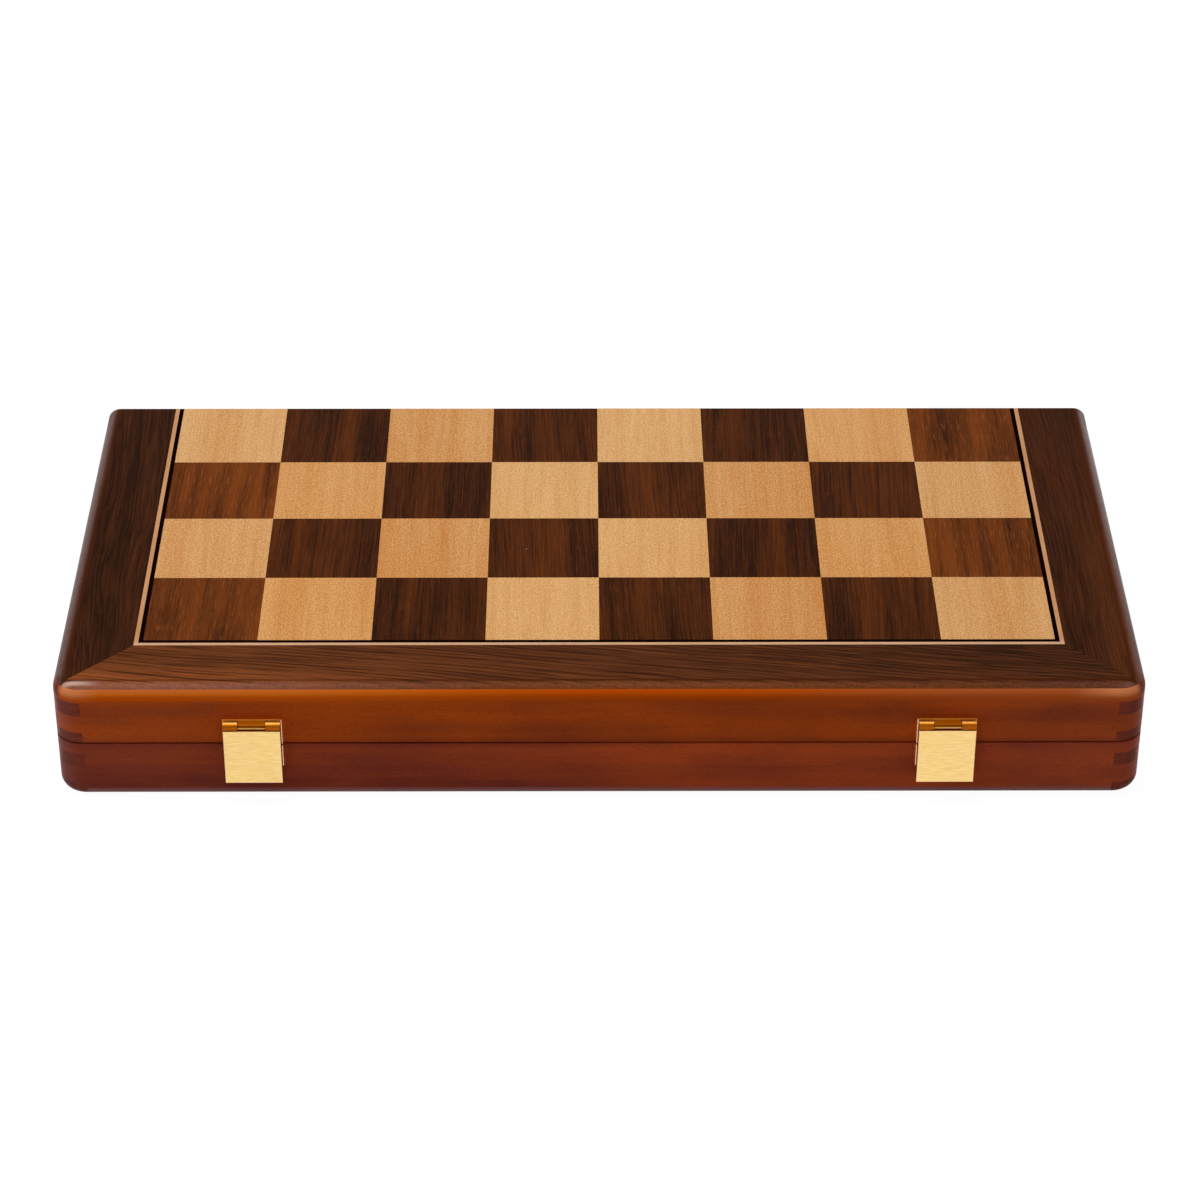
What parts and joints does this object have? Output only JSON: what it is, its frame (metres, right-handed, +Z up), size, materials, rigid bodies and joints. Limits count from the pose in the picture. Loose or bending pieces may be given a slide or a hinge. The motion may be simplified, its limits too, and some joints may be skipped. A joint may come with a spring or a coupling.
{
  "type": "folding chess box",
  "caption": "Wooden chess box that folds like a book, with half the inlaid board on each outer face, finger-jointed walls, brass hinges and clasps.",
  "frame": {"origin": "centre of the wooden underside, on the surface that the closed box rests on", "axes": "+X along the hinge, to the right seen from the front; +Y from the clasps to the hinges; +Z up"},
  "size_m": [0.398, 0.2061, 0.049],
  "materials": {
    "stained_beech": "orange-brown stain under satin lacquer",
    "walnut_border": "satin lacquer",
    "walnut_squares": "satin lacquer",
    "maple_squares": "satin lacquer",
    "pale_inlay": "satin lacquer",
    "black_inlay": "dyed veneer under satin lacquer",
    "plywood": "bare birch plywood",
    "felt": "short green felt",
    "brass": "polished",
    "brushed_brass": "brushed face, polished knuckles"
  },
  "bodies": {
    "base": {"base_front_wall": "stained_beech", "base_back_wall": "stained_beech", "base_left_wall": "stained_beech", "base_right_wall": "stained_beech", "base_front_border": "walnut_border", "base_left_border": "walnut_border", "base_right_border": "walnut_border", "base_pale_line": "pale_inlay", "base_black_line": "black_inlay", "base_dark_squares": "walnut_squares", "base_light_squares": "maple_squares", "base_panel": "plywood", "base_lining": "felt", "base_hinge_screws": "brass", "base_clasp_nails": "brass", "left_hinge_base_leaf": "brass", "left_hinge_pin": "brass", "left_clasp_keeper": "brass", "right_hinge_base_leaf": "brass", "right_hinge_pin": "brass", "right_clasp_keeper": "brass"},
    "lid": {"lid_front_wall": "stained_beech", "lid_back_wall": "stained_beech", "lid_left_wall": "stained_beech", "lid_right_wall": "stained_beech", "lid_front_border": "walnut_border", "lid_left_border": "walnut_border", "lid_right_border": "walnut_border", "lid_pale_line": "pale_inlay", "lid_black_line": "black_inlay", "lid_dark_squares": "walnut_squares", "lid_light_squares": "maple_squares", "lid_panel": "plywood", "lid_lining": "felt", "lid_hinge_screws": "brass", "lid_clasp_nails": "brass", "left_hinge_lid_leaf": "brass", "left_clasp_plate": "brass", "left_clasp_pin": "brass", "right_hinge_lid_leaf": "brass", "right_clasp_plate": "brass", "right_clasp_pin": "brass"},
    "left_flap": {"left_clasp_flap": "brushed_brass", "left_clasp_catch": "brass"},
    "right_flap": {"right_clasp_flap": "brushed_brass", "right_clasp_catch": "brass"}
  },
  "joints": [
    {"name": "lid_hinge", "type": "hinge", "parent": "base", "child": "lid", "pos_m": [0, 0.09965, 0.0245], "axis": [-1, 0, 0], "range_deg": [0, 180]},
    {"name": "left_flap_hinge", "type": "hinge", "parent": "lid", "child": "left_flap", "pos_m": [-0.1264, -0.10225, 0.034], "axis": [-1, 0, 0], "range_deg": [0, 110]},
    {"name": "right_flap_hinge", "type": "hinge", "parent": "lid", "child": "right_flap", "pos_m": [0.1264, -0.10225, 0.034], "axis": [-1, 0, 0], "range_deg": [0, 110]}
  ]
}
